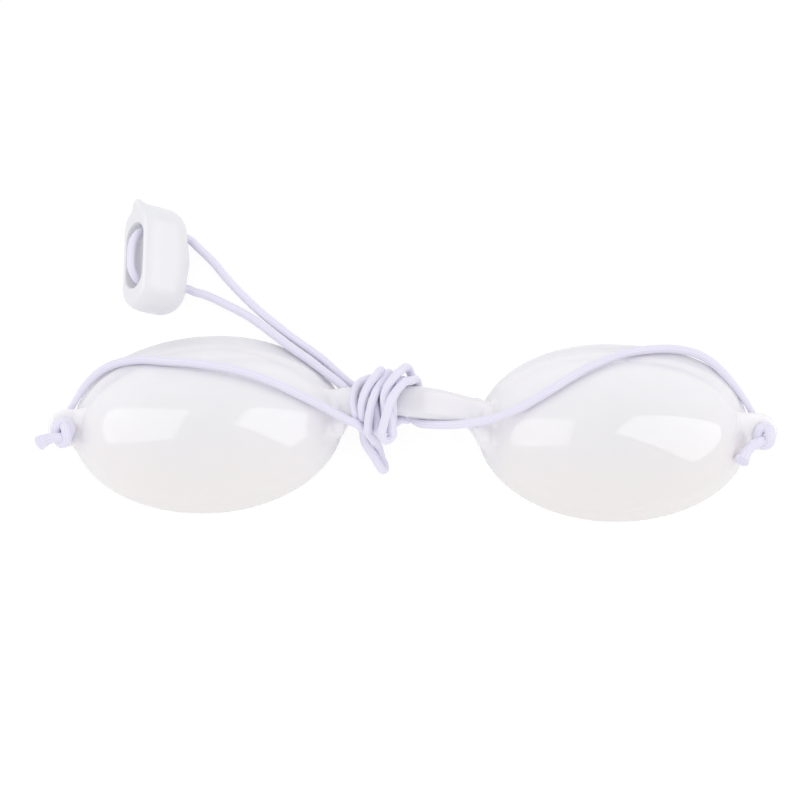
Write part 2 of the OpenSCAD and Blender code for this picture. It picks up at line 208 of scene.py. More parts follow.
class Cup:
    """Shape of one eye cup. Its own axes run to the nose, to the brow and away from the face."""

    passing = 0.4  # Share of the nose half over which one end's length becomes the other's
    lug_sunk = 0.5 * MM

    def __init__(self, s, x, y, turn, side, lug_out, lug_up, corner):
        self.s = s
        self.x = x
        self.y = y
        self.side = side
        self.cos = math.cos(turn)
        self.sin = math.sin(turn)
        self.reach = s.temple_half + lug_out
        self.lug_up = lug_up
        self.corner = corner

    def local(self, p):
        dx = (p[..., 0] - self.x) * self.side
        dy = p[..., 1] - self.y
        return dx * self.cos + dy * self.sin, dy * self.cos - dx * self.sin, p[..., 2]

    def half_length(self, u):
        """Half the cup's length, which passes smoothly from one end's value to the other's."""
        s = self.s
        share = 0.5 + 0.5 * np.tanh(u / (self.passing * s.nose_half))
        return s.temple_half + (s.nose_half - s.temple_half) * share

    def drawn(self, p):
        """The cup's own axes, drawn in a little where the outline is fuller than an ellipse."""
        u, v, z = self.local(p)
        a = np.maximum(np.abs(u) / self.half_length(u), 1e-6)
        b = np.maximum(np.abs(v) / self.s.half_height, 1e-6)
        power = np.where((u < 0) & (v > 0), self.corner, 2)
        share = (a**power + b**power) ** (1 / power) / np.hypot(a, b)
        return u * share, v * share, z

    def outline(self, p):
        u, v, _ = self.drawn(p)
        return np.hypot(u / self.half_length(u), v / self.s.half_height) - 1

    def dome(self, inset, foot):
        """Field of the dome, drawn in by inset all round and standing on foot."""
        s = self.s
        half_y = s.half_height - (s.brim_cheek + s.brim_brow) / 2 - inset
        drift = (s.brim_cheek - s.brim_brow) / 2 + s.dome_shift

        def field(p):
            u, v, z = self.drawn(p)
            half_x = self.half_length(u) - s.brim_end - inset
            y = v + s.dome_shift
            b = y * drift / half_y**2
            a = 1 - (drift / half_y) ** 2
            ring = (np.sqrt(b**2 + a * ((u / half_x) ** 2 + (y / half_y) ** 2)) - b) / a
            to_brow = np.clip((y - drift * ring) / (np.maximum(ring, 1e-6) * half_y), -1, 1)
            full = s.brow_fullness + (s.cheek_fullness - s.brow_fullness) * (1 - to_brow) / 2
            high = np.maximum((z - foot) / (s.depth - inset - foot), 0)
            return np.sqrt(ring**2 + high**full) - 1

        return field

    def brim(self, p):
        s = self.s
        u, v, z = self.drawn(p)
        edge = as_distance(self.outline, p)
        to_brow = v / np.maximum(np.hypot(u * s.half_height / s.temple_half, v), 1e-6)
        side_w = np.where(v > 0, s.brim_brow, s.brim_cheek)
        width = s.brim_end + (side_w - s.brim_end) * to_brow**2
        share = np.clip(-edge / width, 0, 1)
        top = s.rim_edge + (s.crease_height - s.rim_edge) * share
        return smooth_cut(edge, z - top, s.edge_round)

    def lug(self, p):
        s = self.s
        u, v, z = self.local(p)
        inner = s.temple_half - s.brim_end - s.wall - self.lug_sunk
        tab = np.hypot(np.maximum(-self.reach - u, 0), v - self.lug_up) - s.lug_w / 2
        tab = np.maximum(tab, u + inner)
        plate = np.abs(z - s.lug_clear - s.lug_t / 2) - s.lug_t / 2
        flat = smooth_cut(tab, plate, s.lug_round)
        foot = np.maximum(tab, -u - s.temple_half + s.edge_round)
        under = smooth_cut(foot, z - s.lug_clear - s.lug_t / 2, s.lug_round)
        return smooth_union(flat, under, s.lug_round)

    def cord_hole(self, p):
        u, v, _ = self.local(p)
        return np.hypot(u + self.reach + self.s.hole_out, v - self.lug_up) - self.s.hole_r

    def outside(self, p):
        s = self.s
        dome = as_distance(self.dome(0, s.crease_height), p)
        body = smooth_union(self.brim(p), dome, s.crease_round)
        body = smooth_cut(body, as_distance(self.outline, p), s.edge_round)
        return smooth_union(body, self.lug(p), s.lug_fillet)

    def inside(self, p):
        """What the cup leaves open: its hollow and the cord hole in its lug."""
        return np.minimum(as_distance(self.dome(self.s.wall, 0), p), self.cord_hole(p))


class Bridge:
    """Shape of the arched bar between the cups."""

    root_past = 2 * MM
    cheek_swell = 0.55 * MM
    swell_start = -6 * MM
    swell_length = 18 * MM
    root_sunk = 1.5 * MM
    brow_flare = 0.15

    def __init__(self, s):
        self.s = s
        self.left = -s.left_x + s.nose_half - self.root_past
        self.right = s.right_x - s.nose_half + self.root_past
        rise = s.offset / 2 + s.root_up
        self.left_y = rise + s.nose_half * math.sin(s.left_turn)
        self.right_y = rise - s.offset + s.nose_half * math.sin(s.right_turn)

    def along(self, x):
        return (x - self.left) / (self.right - self.left)

    def hump(self, x):
        return 4 * self.along(x) * (1 - self.along(x))

    def y(self, x):
        bow = self.s.arch_bow * self.hump(x)
        return self.left_y + (self.right_y - self.left_y) * self.along(x) + bow

    def z(self, x):
        return self.s.root_z + self.s.arch_rise * self.hump(x)

    def field(self, p):
        s = self.s
        x, y, z = p[..., 0], p[..., 1], p[..., 2]
        from_end = np.minimum(x - self.left, self.right - x) - self.root_past
        wide = s.root_flare * np.maximum(0, 1 - np.maximum(from_end, 0) / s.flare_length) ** 2
        share = np.clip((x - self.swell_start) / self.swell_length, 0, 1)
        swell = self.cheek_swell * np.sin(math.pi * share) ** 2
        half = s.bar_w / 2 + (wide * (1 + self.brow_flare) + swell) / 2
        middle = self.y(x) - (wide * (1 - self.brow_flare) + swell) / 2
        side = np.abs(y - middle) - half + s.bar_round
        up = np.abs(z - self.z(x)) - s.bar_t / 2 + s.bar_round
        corner = np.hypot(np.maximum(side, 0), np.maximum(up, 0))
        bar = corner + np.minimum(np.maximum(side, up), 0) - s.bar_round
        ends = np.maximum(self.left - self.root_sunk - x, x - self.right - self.root_sunk)
        return np.maximum(bar, ends)


def cups_of(s):
    return (
        Cup(s, -s.left_x, s.offset / 2, s.left_turn, 1, s.left_lug_out, 0, s.left_corner),
        Cup(
            s, s.right_x, -s.offset / 2, s.right_turn, -1, s.right_lug_out, s.right_lug_up,
            s.right_corner,
        ),
    )


def moulding_field(s):
    """Field of the whole moulding: cups, lugs and bridge in one, cut open and flat underneath."""
    left, right = cups_of(s)
    bridge = Bridge(s)

    def field(p):
        solid = smooth_union(left.outside(p), bridge.field(p), s.root_round)
        solid = smooth_union(solid, right.outside(p), s.root_round)
        hollow = np.minimum(left.inside(p), right.inside(p))
        solid = smooth_cut(solid, -hollow, s.edge_round)
        return smooth_cut(solid, -p[..., 2], s.edge_round)

    return field


def settle(field, points, reach, rounds=1):
    """Moves points onto the surface of a field, at most reach at a time."""
    for _ in range(rounds):
        value = field(points)
        rise = slope(field, points)
        step = value / np.maximum((rise**2).sum(-1), 1e-6)
        points = points - np.clip(step, -reach, reach)[:, None] * rise
    return points


def net_over(field, low, high, step):
    """Points and four-sided faces over a field's surface, with a point in each cell it crosses."""
    lines = [np.arange(low[i], high[i] + step, step) for i in range(3)]
    grid = np.stack(np.meshgrid(*lines, indexing="ij"), axis=-1)
    slabs, cell_corners = 8, 8
    inside = np.concatenate([field(slab) for slab in np.array_split(grid, slabs)]) < 0
    count = sum(
        inside[i : i - 1 or None, j : j - 1 or None, k : k - 1 or None].astype(int)
        for i in (0, 1) for j in (0, 1) for k in (0, 1)
    )
    crossed = (count > 0) & (count < cell_corners)
    number = np.full(crossed.shape, -1)
    number[crossed] = np.arange(crossed.sum())
    points = grid[:-1, :-1, :-1][crossed] + step / 2
    faces = []
    for axis in range(3):
        order = (axis, (axis + 1) % 3, (axis + 2) % 3)
        here = inside.transpose(order)
        cells = number.transpose(order)
        for leaving in (True, False):
            first, second = (here[:-1], here[1:]) if leaving else (here[1:], here[:-1])
            i, j, k = np.nonzero((first & ~second)[:, 1:-1, 1:-1])
            ring = [cells[i, j + a, k + b] for a, b in ((0, 0), (1, 0), (1, 1), (0, 1))]
            faces.append(np.stack(ring if leaving else ring[::-1], axis=1))
    return points, np.concatenate(faces)


def even_out(field, points, faces, reach, rounds):
    """Spreads the points evenly: each moves between its neighbours and back onto the surface."""
    starts = faces.ravel()
    ends = np.roll(faces, -1, axis=1).ravel()
    a = np.concatenate([starts, ends])
    b = np.concatenate([ends, starts])
    share = np.bincount(a, minlength=len(points))[:, None]
    for _ in range(rounds):
        sums = [np.bincount(a, points[b, c], len(points)) for c in range(3)]
        points = 0.5 * points + 0.5 * np.stack(sums, axis=1) / share
        points = settle(field, points, reach)
    return points


def mesh_piece(name, points, faces, material):
    mesh = bpy.data.meshes.new(name)
    mesh.from_pydata(points.tolist(), [], faces.tolist())
    mesh.validate()
    mesh.materials.append(material)
    mesh.polygons.foreach_set("use_smooth", [True] * len(mesh.polygons))
    mesh.update()
    piece = bpy.data.objects.new(name, mesh)
    bpy.context.scene.collection.objects.link(piece)
    return piece


def field_piece(name, field, low, high, step, material, place=None):
    """A smooth closed mesh over a field, put in its place."""
    points, faces = net_over(field, low, high, step)
    points = settle(field, points, step / 2, rounds=4)
    points = even_out(field, points, faces, step / 2, rounds=3)
    points = settle(field, points, step / 2, rounds=2)
    if place is not None:
        points = place(points)
    return mesh_piece(name, points, faces, material)


# Materials

# Colour sockets of a mix node, whose names are those of its other sockets too
MIX_A, MIX_B, MIX_OUT = 6, 7, 2
WHITE = (1, 1, 1, 1)


def node(tree, kind, inputs=None, **settings):
    """Adds a node. An input is a value, an output, or a node, which gives its first output."""
    made = tree.nodes.new(kind)
    for name, value in settings.items():
        setattr(made, name, value)
    for name, value in (inputs or {}).items():
        if isinstance(value, bpy.types.Node):
            value = value.outputs[0]
        if isinstance(value, bpy.types.NodeSocket):
            tree.links.new(value, made.inputs[name])
        else:
            made.inputs[name].default_value = value
    return made


def made_material(make, *values, name=None):
    """A finish, made once and then shared. Its function adds its nodes and returns the last."""
    name = name or make.__name__
    material = bpy.data.materials.get(name)
    if material is None:
        material = bpy.data.materials.new(name)
        material.use_nodes = True
        tree = material.node_tree
        tree.nodes.clear()
        node(tree, "ShaderNodeOutputMaterial", {"Surface": make(tree, *values)})
    return material


def opaque(colour_value):
    return (*colour_value, 1)


def moulded_polythene(tree, finishes):
    """Injection-moulded polythene: glossy and a little translucent. Its mould leaves faint ripples
    about 8 mm apart and a grain of about 0.45 mm."""
    place = node(tree, "ShaderNodeTexCoord").outputs["Object"]
    where = node(tree, "ShaderNodeSeparateXYZ", {0: place}).outputs
    ripple = node(tree, "ShaderNodeTexNoise", {"Vector": place, "Scale": 120.0, "Detail": 2.0})
    grain = node(tree, "ShaderNodeTexNoise", {"Vector": place, "Scale": 2200.0, "Detail": 1.0})
    # Painted shade: the cheek side, low in the view, is painted a touch darker and warmer than the
    # brow side
    painted_low_shade = node(
        tree, "ShaderNodeMapRange", {0: where["Y"], "From Min": 4 * MM, "From Max": -20 * MM}
    )
    mixed = node(
        tree, "ShaderNodeMix", data_type="RGBA",
        inputs={0: painted_low_shade, MIX_A: opaque(finishes.shell), MIX_B: opaque(finishes.shell_painted_shade)},
    )
    # Painted shade: the thin bridge is painted greyer, since less light comes back out of it
    across = node(tree, "ShaderNodeMath", {0: where["X"]}, operation="ABSOLUTE")
    thin = node(
        tree, "ShaderNodeMapRange",
        {0: across, "From Min": 13 * MM, "From Max": 20 * MM, "To Min": 1.0, "To Max": 0.0},
    )
    bridge_painted_shade = node(
        tree, "ShaderNodeMix", data_type="RGBA",
        inputs={0: thin, MIX_A: mixed.outputs[MIX_OUT], MIX_B: opaque(finishes.shell_thin_shade)},
    )
    rough = node(tree, "ShaderNodeMapRange", {0: ripple, "To Min": 0.04, "To Max": 0.07})
    wave = node(
        tree, "ShaderNodeBump", {"Strength": 0.04, "Distance": 0.12 * MM, "Height": ripple}
    )
    skin = node(
        tree, "ShaderNodeBump",
        {"Strength": 0.05, "Distance": 0.01 * MM, "Height": grain, "Normal": wave},
    )
    return node(
        tree, "ShaderNodeBsdfPrincipled", {
            "Base Color": bridge_painted_shade.outputs[MIX_OUT], "Roughness": rough, "IOR": 1.5,
            "Subsurface Weight": 0.65, "Subsurface Radius": (1.0, 0.9, 0.85),
            "Subsurface Scale": 3.5 * MM, "Normal": skin,
        },
    )


def satin_acetal(tree, finishes):
    """Moulded acetal: satin, with soft, wide highlights. Its grain is about 0.55 mm."""
    place = node(tree, "ShaderNodeTexCoord").outputs["Object"]
    grain = node(tree, "ShaderNodeTexNoise", {"Vector": place, "Scale": 1800.0, "Detail": 2.0})
    rough = node(tree, "ShaderNodeMapRange", {0: grain, "To Min": 0.34, "To Max": 0.42})
    skin = node(
        tree, "ShaderNodeBump", {"Strength": 0.08, "Distance": 0.02 * MM, "Height": grain}
    )
    return node(
        tree, "ShaderNodeBsdfPrincipled", {
            "Base Color": opaque(finishes.lock), "Roughness": rough, "IOR": 1.48,
            "Subsurface Weight": 0.25, "Subsurface Radius": (1.0, 0.9, 0.9),
            "Subsurface Scale": 1.2 * MM, "Normal": skin,
        },
    )


def braided_elastic(tree, finishes, cord):
    """Braided polyester over rubber: crossing yarns with a soft sheen. Yarns are drawn about twice
    as wide as real ones, so that they show."""
    section = node(tree, "ShaderNodeAttribute", attribute_name="cord_section").outputs["Vector"]
    parts = node(tree, "ShaderNodeSeparateXYZ", {0: section}).outputs
    around = node(tree, "ShaderNodeMath", {0: parts["Y"], 1: parts["X"]}, operation="ARCTAN2")
    along = node(
        tree, "ShaderNodeMath", {0: parts["Z"], 1: math.pi / cord.yarn}, operation="MULTIPLY"
    )
    yarns_each_way = round(math.pi * cord.diameter / cord.yarn / 2)
    waves = []
    for turn in (yarns_each_way / 2, -yarns_each_way / 2):
        phase = node(
            tree, "ShaderNodeMath", {0: around, 1: turn, 2: along}, operation="MULTIPLY_ADD"
        )
        waves.append(node(tree, "ShaderNodeMath", {0: phase}, operation="SINE"))
    crossing = node(tree, "ShaderNodeMath", {0: waves[0], 1: waves[1]}, operation="MULTIPLY")
    # Painted shade: the low gaps between the yarns are painted darker than the yarns' crowns
    height = node(tree, "ShaderNodeMapRange", {0: crossing, "From Min": -1.0})
    mixed = node(
        tree, "ShaderNodeMix", data_type="RGBA",
        inputs={0: height, MIX_A: opaque(finishes.cord_gap_shade), MIX_B: opaque(finishes.cord)},
    )
    relief = node(
        tree, "ShaderNodeBump", {"Strength": 0.5, "Distance": 0.05 * MM, "Height": height}
    )
    return node(
        tree, "ShaderNodeBsdfPrincipled", {
            "Base Color": mixed.outputs[MIX_OUT], "Roughness": 0.7,
            "Subsurface Weight": 0.2, "Subsurface Radius": (1.0, 1.0, 1.0),
            "Subsurface Scale": 0.4 * MM, "Sheen Weight": 0.25, "Sheen Roughness": 0.4,
            "Normal": relief,
        },
    )


def seen_directly(tree):
    """1 on rays from the camera, also by way of a reflection or glass, and 0 on all others."""
    rays = node(tree, "ShaderNodeLightPath").outputs
    seen = rays["Is Camera Ray"]
    for name in ("Is Glossy Ray", "Is Transmission Ray"):
        seen = node(tree, "ShaderNodeMath", {0: seen, 1: rays[name]}, operation="MAXIMUM")
    return seen


def white_board(tree, finishes):
    """Matt white board for the floor. The camera sees it as plain white, with a faint shadow."""
    board = node(tree, "ShaderNodeBsdfDiffuse", {"Color": opaque(finishes.floor)})
    shade = node(tree, "ShaderNodeBsdfDiffuse", {"Color": (0.12, 0.12, 0.12, 1)})
    glow = node(tree, "ShaderNodeEmission", {"Color": WHITE, "Strength": 0.9})
    lit = node(tree, "ShaderNodeAddShader", {0: shade, 1: glow})
    return node(tree, "ShaderNodeMixShader", {0: seen_directly(tree), 1: board, 2: lit})


def lamp_cloth(tree, glow):
    """White cloth in front of a lamp, which glows evenly."""
    return node(tree, "ShaderNodeEmission", {"Color": WHITE, "Strength": glow})


# Routes of the free cord, in millimetres. From the left hole over the cup to the tucked fold
LEFT_ROUTE = [
    (-76.6, -0.9, 4.2), (-76.6, -0.9, 2.4), (-76.6, 0, 1.3), (-76.4, 1.6, 1.2), (-75.8, 3.6, 2),
    (-74.8, 5.3, 2.4), (-73.3, 8, 2.5), (-71.3, 10.6, 2.5), (-68.7, 12.7, 2.8), (-65.3, 14, 3.6),
    (-60.3, 14.2, 5.5), (-57.2, 13.4, 8.3), (-53, 12.3, 11.2), (-48, 11.4, 13.4),
    (-43.4, 10.4, 14.8), (-38.4, 9.3, 15.6), (-33.4, 7.8, 15.6), (-28.6, 6, 14.8),
    (-24.2, 4.2, 13), (-21.9, 3.3, 11.7), (-19.4, 2.3, 10.7), (-16.9, 1, 10.2),
    (-14.7, -0.2, 10.4), (-13.6, -0.9, 10.8), (-12.5, -1.4, 11.1), (-11.6, -1.9, 10.9),
    (-10.8, -2.4, 10), (-9.9, -2.9, 8.6),
]
# The fold that hangs below the turns, its second leg crossing over the first
FOLD_ROUTE = [
    (-9.1, -3.5, 6.9), (-8.2, -4.2, 5.2), (-7.6, -5, 3.4), (-7.2, -6.1, 2.3), (-6.8, -7.3, 1.4),
    (-6.3, -8.4, 1), (-6.1, -9.4, 1.1), (-6.5, -9.9, 2.1), (-7, -9.5, 2.9), (-7.6, -8.6, 3.3),
    (-8.4, -7.3, 3.8), (-9.4, -5.9, 4.3), (-10.2, -4.7, 4.8), (-10.6, -3.5, 5.4),
    (-10.7, -2.6, 6.2), (-10.7, -1.9, 7.3),
]
# From the outer turns to the lock, and back to the inner turns
LOCK_ROUTE = [
    (1.6, 3.2, 5.4), (0.6, 3, 3.2), (-1.8, 3.4, 1.7), (-7, 5.2, 1.1), (-14, 10, 1.1),
    (-20.4, 15.8, 1.1), (-27.4, 21, 1.1), (-34.8, 27.2, 1.1), (-41.1, 33.6, 1.1), (-45, 38.3, 1.1),
    (-48.8, 42, 1.4),
]
BACK_ROUTE = [
    (-48.8, 31.1, 1.4), (-46.3, 30.4, 1.2), (-42.1, 28.4, 1.1), (-36.6, 25.4, 1.1),
    (-27.5, 18.2, 2.5), (-20.5, 13, 2.8), (-14.6, 7.6, 4.4),
]
# From the inner turns over the right cup to its hole
RIGHT_ROUTE = [
    (-0.9, 1.4, 8), (-0.2, 0.5, 8), (0.7, -0.5, 8.8), (1.9, -1.25, 9.7), (3.6, -1.6, 10.4),
    (5.6, -1.75, 10.7), (7.6, -1.8, 10.8), (10, -1.7, 10.9), (12.8, -1.4, 11.1), (15.2, -1, 11.3),
    (17.8, -0.5, 12), (20, 0.3, 12.6), (22.6, 1.2, 13.3), (24.8, 2.2, 13.8), (29.2, 4.7, 14.7),
    (33.8, 7.8, 13.9), (38.4, 10.9, 11.8), (43.6, 14, 8), (46.5, 15.5, 5.8), (49.5, 16.5, 4.2),
    (52.1, 17.1, 3.3), (57.5, 17.6, 2.4), (62.9, 16.8, 1.9), (65.8, 15.3, 1.9), (68.3, 13.1, 1.9),
    (70.4, 10.7, 1.9), (72.3, 8.1, 1.9), (74, 5.3, 2.1), (75.3, 2.8, 1.7), (76.2, 0.4, 1.1),
    (76.6, -0.9, 1.3), (76.6, -1.6, 2.6), (76.6, -1.6, 4.2),
]
# Stations of the turns: place along the bar, angle round it and distance off it. Angle 0 is over
# the top of the bar and 90 at its brow side.
OUTER_TURNS = [
    (-10.7, -82, 1.15), (-10.8, -58, 1.8), (-10.9, -37, 2.5), (-11, -21, 2.6), (-10.8, -8, 2.8),
    (-10.4, 4, 2.9), (-10, 13, 3), (-9.4, 24, 3), (-8.7, 34, 3.1), (-7.9, 44, 3.3),
    (-7.2, 55, 3.5), (-6.9, 72, 3.4), (-7.1, 90, 3.1), (-7.3, 135, 3.3), (-7.7, 180, 3.4),
    (-8.6, 215, 3), (-8.9, 231, 2.65), (-9, 259, 1.95), (-9.4, 279, 3.3), (-9.7, 286, 4.5),
    (-9.7, 296, 4.6), (-9.6, 304, 4.2), (-9.4, 319, 3.8), (-9.1, 333, 3.4), (-8.7, 346, 3.1),
    (-8.2, 359, 2.8), (-7.7, 373, 2.4), (-7, 390, 2), (-6.3, 411, 1.9), (-5.7, 430, 2.3),
    (-5.2, 450, 2.9), (-5, 495, 3), (-5.1, 540, 3.4), (-5.1, 574, 4.9), (-5.3, 578, 5.7),
    (-5.1, 582, 5.8), (-4.7, 579, 5), (-4.2, 577, 4.1), (-3.5, 577, 3.4), (-2.9, 577, 2.7),
    (-1.9, 576, 2.6), (-1.2, 573, 3), (-0.5, 560, 3.3), (-0.1, 540, 3.1), (0.4, 500, 2.9),
    (-0.1, 475, 3), (-0.5, 464, 3.5), (-0.8, 454, 3.9), (-1.4, 437, 4), (-2.1, 420, 4),
    (-2.9, 407, 4), (-3.7, 396, 4), (-4.5, 386, 3.8), (-5.2, 377, 3.5), (-5.8, 367, 3.3),
    (-6.1, 357, 3.1), (-6.1, 347, 3.1), (-5.8, 335, 3.2), (-5.2, 323, 3.3), (-4.7, 311, 3.6),
    (-4.5, 301, 4.2), (-4.4, 290, 4.7), (-4.5, 277, 5.2), (-5.3, 275, 6), (-6.2, 287, 6.4),
    (-6.7, 297, 6.4), (-6.5, 304, 6), (-6.2, 313, 5.7), (-5.9, 320, 5.5), (-5.6, 328, 5.3),
    (-5.2, 338, 5.1), (-4.8, 346, 4.8), (-4.1, 356, 4.2), (-3.4, 367, 3.6), (-2.5, 380, 3),
    (-1.7, 394, 2.5), (-0.8, 406, 2.1), (0.1, 412, 1.8), (0.4, 432, 1.6), (0.8, 450, 1.5),
    (1.3, 495, 1.6), (2, 540, 1.9),
]
INNER_TURNS = [
    (-12.3, -180, 1.1), (-12.2, -135, 1.6), (-12.1, -97, 1.05), (-12.1, -72, 1.2),
    (-12.2, -51, 1.6), (-12.6, -28, 1.5), (-12.8, -8, 1.2), (-12.8, 9, 1.2), (-12.5, 25, 1.5),
    (-12, 41, 1.6), (-11.1, 60, 1.5), (-10, 74, 1.6), (-9.4, 88, 1.8), (-9.3, 130, 1.9),
    (-9, 180, 1.4), (-8.1, 230, 1.8), (-7.9, 245, 2.2), (-7.6, 254, 3.3), (-7.7, 264, 3.8),
    (-7.7, 278, 3), (-7.8, 295, 2.1), (-8, 322, 1.6), (-8.4, 352, 1.3), (-8.6, 390, 1.5),
    (-8, 440, 1.2), (-7.2, 500, 1.5), (-6.6, 560, 1.6), (-6, 630, 1.3), (-6, 680, 1.6),
    (-6.2, 712, 1.3), (-4.9, 750, 1.5), (-4.1, 800, 1.2), (-4, 860, 1.5), (-4.2, 920, 1.5),
    (-4.3, 990, 1.3), (-4.3, 1040, 1.6), (-4.3, 1072, 1.3), (-2.9, 1110, 1.5), (-2.1, 1160, 1.2),
    (-1.7, 1205, 1.6), (-1.4, 1236, 1.6),
]
# An overhand knot on the mouth of its hole, from its tail to the hole
KNOT = [
    (1.1, -2.6, 1.1), (2.2, -1.5, 1), (2.3, -0.1, 1.1), (1.6, 1, 1.5), (0.3, 1.5, 1.9),
    (-1, 0.9, 1.9), (-1.6, -0.4, 1.5), (-1.6, -1.9, 1), (-1.1, -3.4, 0.9), (0, -4.4, 1),
    (1.2, -4.2, 1.6), (1.8, -3.2, 2.4), (1.6, -1.9, 2.9), (1, -0.8, 2.6), (0.3, -0.1, 1.6),
    (0, 0, 0.4),
]
LEFT_TAIL = [
    (-4.2, -4.4, 3.7), (-3.4, -3.7, 3), (-2.4, -3.2, 2.5), (-1.2, -2.9, 2.3), (0.1, -2.8, 1.9),
]
RIGHT_TAIL = [
    (-5.4, -7.6, 3.3), (-4.6, -6.2, 2.7), (-3.5, -4.8, 2.3), (-2.2, -3.7, 2.2), (-0.8, -3, 2),
]
LUG_TOP = 5.0
# Size of each knot beside the one above, and how many of its stations lead down the hole
LEFT_KNOT_SIZE = 0.78
RIGHT_KNOT_SIZE = 0.68
KNOT_MIDDLE = np.array([0.1, -2, 0])
KNOT_END = 3

# Place of the lock's middle
LOCK_AT = np.array([-56.4, 36.7, 6.6]) * MM


def in_metres(route):
    return np.array(route) * MM


def knot_path(hole, tail, size_share):
    """Path of a knot from its cut end down into the mouth of the hole that it sits on."""
    drawn = (np.array(KNOT[:-KNOT_END]) - KNOT_MIDDLE) * (size_share, size_share, 1) + KNOT_MIDDLE
    path = in_metres([*tail, *drawn, *KNOT[-KNOT_END:]])
    return path + np.array([hole[0], hole[1], LUG_TOP]) * MM


def turns(bridge, stations):
    """A smooth path round the bar through stations."""
    # Ten degrees count as a millimetre, which spaces the stations about evenly
    share, fine_step, kept = 0.1, 0.5 * MM, 4
    x, angle_in, off = smooth_line(in_metres(stations) * (1, share, 1), fine_step).T
    turn = np.radians(angle_in / (share * MM))
    y = bridge.y(x) + (bridge.s.bar_w / 2 + off) * np.sin(turn)
    z = bridge.z(x) + (bridge.s.bar_t / 2 + off) * np.cos(turn)
    return np.stack([x, y, z], axis=1)[::kept]


def windings(shield):
    """The outer and the inner turns."""
    bridge = Bridge(shield)
    return turns(bridge, OUTER_TURNS), turns(bridge, INNER_TURNS)


def lock_fold(lock):
    """The cord in the lock: in through one hole, round in the pocket and out through the other."""
    past = lock.depth / MM + 0.8
    stations = [
        (past, 1, 0), (4.2, 1, 0), (1.5, 0.93, 0.3), (-0.5, 0.55, 0.6), (-1.1, -0.08, 0.7),
        (-0.6, -0.63, 0.6), (1.5, -0.97, 0.3), (4.2, -1, 0), (past, -1, 0),
    ]
    along, across, up = np.array(stations).T
    across = across * lock.hole_gap / 2 + lock.hole_up * along * MM / lock.depth
    return lock_place(lock, np.stack([along * MM, across, up * MM], axis=1))


def lock_place(lock, p):
    """Points of the lock's own axes, put in its place and leaned."""
    a = p[:, 0] - lock.depth / 2
    x = a * math.cos(lock.lean) + p[:, 2] * math.sin(lock.lean)
    z = p[:, 2] * math.cos(lock.lean) - a * math.sin(lock.lean)
    return np.stack([x, p[:, 1], z], axis=1) + LOCK_AT


def runs(line):
    """How far along a line each of its points lies."""
    return np.concatenate([[0], np.cumsum(np.linalg.norm(np.diff(line, axis=0), axis=1))])


def between(t, start, stop, a, b):
    """The value at t on the way from a at start to b at stop."""
    return (stop - t) / (stop - start) * a + (t - start) / (stop - start) * b


def smooth_line(points, step):
    """Points a set step apart along a smooth curve through the given ones."""
    p = np.concatenate([[2 * points[0] - points[1]], points, [2 * points[-1] - points[-2]]])
    gaps = np.sqrt(np.maximum(np.linalg.norm(np.diff(p, axis=0), axis=1), 1e-7))
    knots = np.concatenate([[0], np.cumsum(gaps)])
    line, cuts = [], 24
    for i in range(1, len(p) - 2):
        t0, t1, t2, t3 = knots[i - 1 : i + 3]
        t = np.linspace(t1, t2, cuts, endpoint=False)[:, None]
        a1, a2, a3 = (between(t, *knots[j : j + 2], *p[j : j + 2]) for j in (i - 1, i, i + 1))
        b1, b2 = between(t, t0, t2, a1, a2), between(t, t1, t3, a2, a3)
        line.append(between(t, t1, t2, b1, b2))
    line = np.concatenate([*line, points[-1:]])
    run = runs(line)
    at = np.linspace(0, run[-1], max(2, round(run[-1] / step) + 1))
    return np.stack([np.interp(at, run, line[:, c]) for c in range(3)], axis=1)


def run_length(line):
    return float(runs(line)[-1])


def cord_tree():
    """Geometry nodes that sweep a round cord along a line and mark where each point lies on it."""
    tree = bpy.data.node_groups.new("cord_along_line", "GeometryNodeTree")
    kinds = {"Line": "Geometry", "Diameter": "Float", "Sides": "Int", "Material": "Material"}
    for name, kind in kinds.items():
        tree.interface.new_socket(name, in_out="INPUT", socket_type=f"NodeSocket{kind}")
    tree.interface.new_socket("Cord", in_out="OUTPUT", socket_type="NodeSocketGeometry")
    given = node(tree, "NodeGroupInput").outputs
    half = node(tree, "ShaderNodeMath", {0: given["Diameter"], 1: 0.5}, operation="MULTIPLY")
    swell = node(tree, "GeometryNodeInputNamedAttribute", {"Name": "swell"}, data_type="FLOAT")
    line = node(tree, "GeometryNodeMeshToCurve", {"Mesh": given["Line"]})
    ring = node(
        tree, "GeometryNodeCurvePrimitiveCircle", {"Resolution": given["Sides"], "Radius": half}
    )
    keep_line = node(tree, "GeometryNodeCaptureAttribute", {"Geometry": line})
    keep_line.capture_items.new("FLOAT", "run")
    run = node(tree, "GeometryNodeSplineParameter").outputs["Length"]
    tree.links.new(run, keep_line.inputs[1])
    keep_ring = node(tree, "GeometryNodeCaptureAttribute", {"Geometry": ring})
    keep_ring.capture_items.new("VECTOR", "spot")
    tree.links.new(node(tree, "GeometryNodeInputPosition").outputs[0], keep_ring.inputs[1])
    tube = node(
        tree, "GeometryNodeCurveToMesh",
        {"Curve": keep_line, "Profile Curve": keep_ring, "Scale": swell, "Fill Caps": True},
    )
    spot = node(tree, "ShaderNodeSeparateXYZ", {0: keep_ring.outputs[1]}).outputs
    section = node(
        tree, "ShaderNodeCombineXYZ", {0: spot[0], 1: spot[1], 2: keep_line.outputs[1]}
    )
    marked = node(
        tree, "GeometryNodeStoreNamedAttribute", data_type="FLOAT_VECTOR", domain="POINT",
        inputs={"Geometry": tube, "Name": "cord_section", "Value": section},
    )
    soft = node(tree, "GeometryNodeSetShadeSmooth", {0: marked})
    plain = node(tree, "GeometryNodeRealizeInstances", {0: soft})
    done = node(
        tree, "GeometryNodeSetMaterial", {"Geometry": plain, "Material": given["Material"]}
    )
    node(tree, "NodeGroupOutput", {0: done})
    return tree


